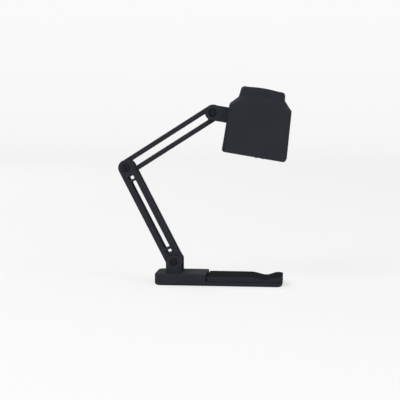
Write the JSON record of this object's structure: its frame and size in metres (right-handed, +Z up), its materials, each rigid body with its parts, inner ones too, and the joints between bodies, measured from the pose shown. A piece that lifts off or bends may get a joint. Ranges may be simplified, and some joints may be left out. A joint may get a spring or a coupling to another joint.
{
  "type": "clip-on reading lamp",
  "caption": "Slim folding clip-on reading lamp: a spring clip base, hinged slotted arms and a flat-sided bell-shaped head with a push button on its cap.",
  "frame": {"origin": "middle of the clip's flat underside", "axes": "+X along the clip towards its mouth, +Y away from the pictured side, +Z up"},
  "size_m": [0.1083, 0.024, 0.124],
  "materials": {
    "black_plastic": "fine moulded texture",
    "jaw_skin": "soft-touch skin",
    "black_steel": "blackened",
    "bright_steel": "drawn",
    "nylon": "plain",
    "grip_rubber": "matt",
    "white_plastic": "smooth",
    "board": "solder mask",
    "diode": "clear epoxy",
    "cell_can": "plated can",
    "contact_brass": "stamped",
    "switch_plastic": "plain",
    "lead_sheath": "smooth"
  },
  "bodies": {
    "base": {"base_housing": "black_plastic", "jaw_pin": "bright_steel", "lower_grip": "grip_rubber", "base_screw": "black_steel", "base_nut": "black_steel", "base_washers": "nylon"},
    "jaw": {"clip_jaw": "jaw_skin", "jaw_spring": "bright_steel"},
    "lower_arm": {"lower_arm_front": "black_plastic", "lower_arm_back": "black_plastic", "arm_sleeve": "bright_steel", "elbow_screw": "black_steel", "elbow_nut": "black_steel", "elbow_washers": "nylon"},
    "upper_arm": {"upper_arm": "black_plastic"},
    "head": {"neck_fork": "black_plastic", "neck_screws": "bright_steel", "head_screw": "black_steel", "head_nut": "black_steel", "head_washers": "nylon", "shade": "black_plastic", "shade_cap": "black_plastic", "switch_body": "switch_plastic", "switch_leads": "lead_sheath", "reflector": "white_plastic", "led_board": "board", "board_screws": "bright_steel", "leds": "diode", "coin_cells": "cell_can", "contact_plus": "contact_brass", "contact_minus": "contact_brass"},
    "button": {"switch_button": "black_plastic"},
    "door": {"cell_door": "black_plastic"}
  },
  "joints": [
    {"name": "clip_hinge", "type": "hinge", "parent": "base", "child": "jaw", "pos_m": [-0.012, 0, 0.0039], "axis": [0, -1, 0], "range_deg": [0, 10], "stiffness_Nm_per_rad": 0.15, "springref_deg": -20.05},
    {"name": "base_hinge", "type": "hinge", "parent": "base", "child": "lower_arm", "pos_m": [-0.02825, 0, 0.0144], "axis": [0, 1, 0], "range_deg": [-60, 90]},
    {"name": "elbow_hinge", "type": "hinge", "parent": "lower_arm", "child": "upper_arm", "pos_m": [-0.05852, 0, 0.07305], "axis": [0, 1, 0], "range_deg": [-84, 5]},
    {"name": "head_hinge", "type": "hinge", "parent": "upper_arm", "child": "head", "pos_m": [-0.00398, 0, 0.10766], "axis": [0, 1, 0], "range_deg": [-100, 35]},
    {"name": "switch_press", "type": "slide", "parent": "head", "child": "button", "axis": [-0.165, 0, -0.9863], "range_m": [0, 0.001], "stiffness_N_per_m": 1000, "springref_m": -0.0005},
    {"name": "door_twist", "type": "hinge", "parent": "head", "child": "door", "pos_m": [0.02436, 0, 0.10008], "axis": [0, 1, 0], "range_deg": [0, 60]}
  ]
}
